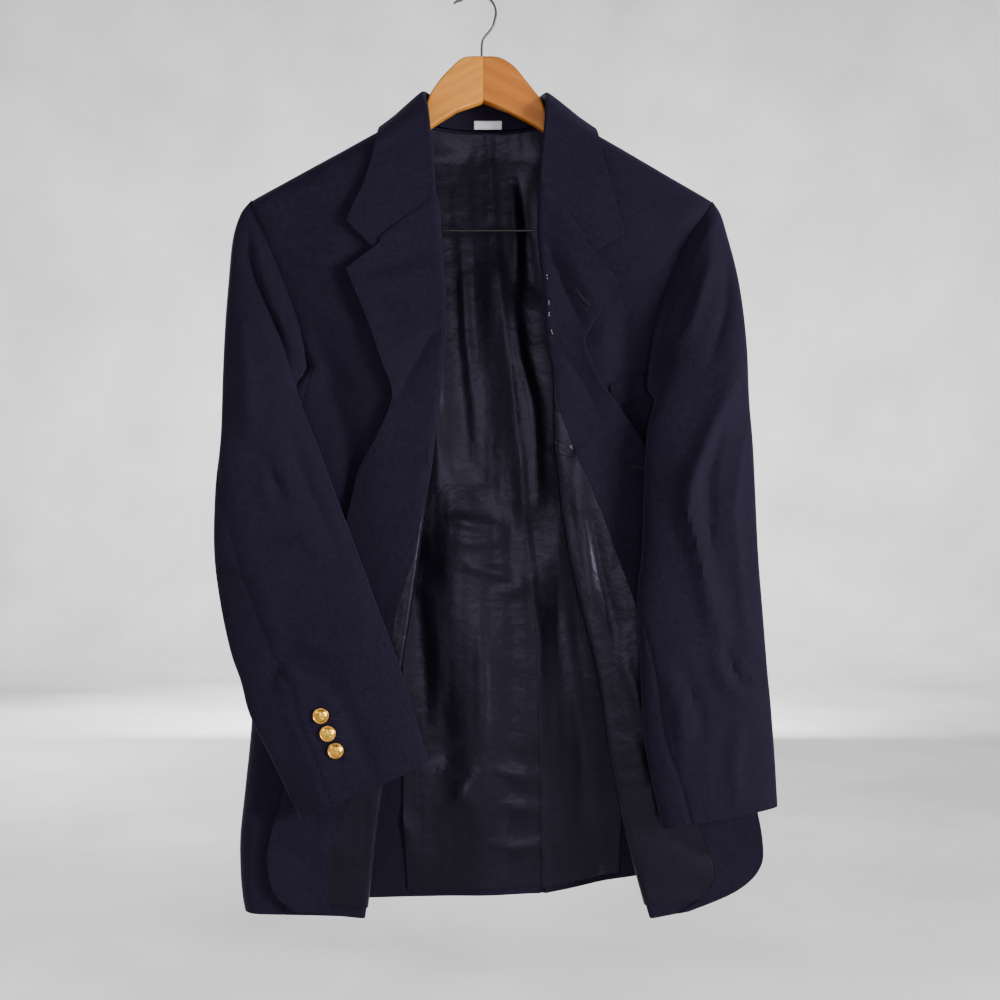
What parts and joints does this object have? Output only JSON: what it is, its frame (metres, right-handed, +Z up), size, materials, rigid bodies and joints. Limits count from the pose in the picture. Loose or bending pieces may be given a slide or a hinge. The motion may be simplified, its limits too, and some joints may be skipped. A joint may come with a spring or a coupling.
{
  "type": "blazer on a hanger",
  "caption": "Single-breasted wool blazer with notch lapels, satin lining and domed sleeve buttons, hanging open on a wooden hanger with a wire hook.",
  "frame": {"origin": "inside the top of the hanger's hook, where it rests on a rail", "axes": "+Z up, +X towards the wearer's left, -Y out of the wearer's chest, towards the viewer"},
  "size_m": [0.5628, 0.1086, 0.9499],
  "materials": {
    "navy_wool": "matte twill",
    "black_satin": "soft satin",
    "label_cloth": "matte",
    "gilt_brass": "polished",
    "varnished_wood": "semi-gloss varnish",
    "chrome_wire": "polished"
  },
  "bodies": {
    "root": {"back_left": "navy_wool", "back_right": "navy_wool", "side_left": "navy_wool", "side_right": "navy_wool", "front_left": "navy_wool", "front_right": "navy_wool", "facing_left": "navy_wool", "facing_right": "navy_wool", "top_sleeve_left": "navy_wool", "top_sleeve_right": "navy_wool", "under_sleeve_left": "navy_wool", "under_sleeve_right": "navy_wool", "collar": "navy_wool", "breast_welt": "navy_wool", "lining_front_left": "black_satin", "lining_front_right": "black_satin", "lining_back_left": "black_satin", "lining_back_right": "black_satin", "inner_pocket_welt": "black_satin", "neck_label": "label_cloth", "sleeve_button_left_1": "gilt_brass", "sleeve_button_left_2": "gilt_brass", "sleeve_button_left_3": "gilt_brass", "sleeve_button_right_1": "gilt_brass", "sleeve_button_right_2": "gilt_brass", "sleeve_button_right_3": "gilt_brass", "hanger_wood_left": "varnished_wood", "hanger_wood_right": "varnished_wood", "hanger_hook": "chrome_wire", "hanger_bar": "chrome_wire"}
  },
  "joints": []
}
